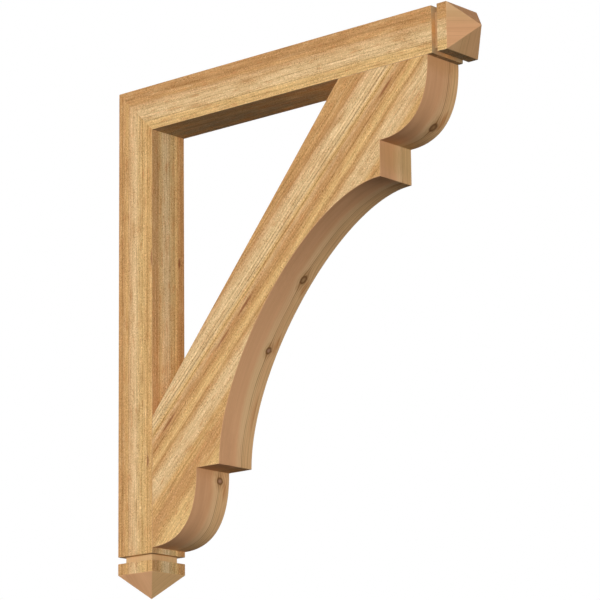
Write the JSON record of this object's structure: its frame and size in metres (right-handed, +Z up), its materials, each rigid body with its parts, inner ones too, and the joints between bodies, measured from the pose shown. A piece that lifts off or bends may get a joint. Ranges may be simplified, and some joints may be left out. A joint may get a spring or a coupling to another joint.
{
  "type": "corbel bracket",
  "caption": "Rough-sawn timber corbel bracket: a wall post and a top arm mitred at the corner, pointed ends, and a scroll-sawn diagonal brace.",
  "frame": {"origin": "middle of the post's wall face: half way across the timber and half way up its straight run, on the plane of the wall", "axes": "+X out from the wall along the arm, +Y across the timbers, +Z up along the post"},
  "size_m": [0.964, 0.1, 1.11],
  "materials": {
    "post_wood": "rough-sawn, unfinished",
    "arm_wood": "rough-sawn, unfinished",
    "brace_wood": "rough-sawn sides, smooth sawn curves, unfinished"
  },
  "bodies": {
    "root": {"wall_post": "post_wood", "top_arm": "arm_wood", "brace": "brace_wood"}
  },
  "joints": []
}
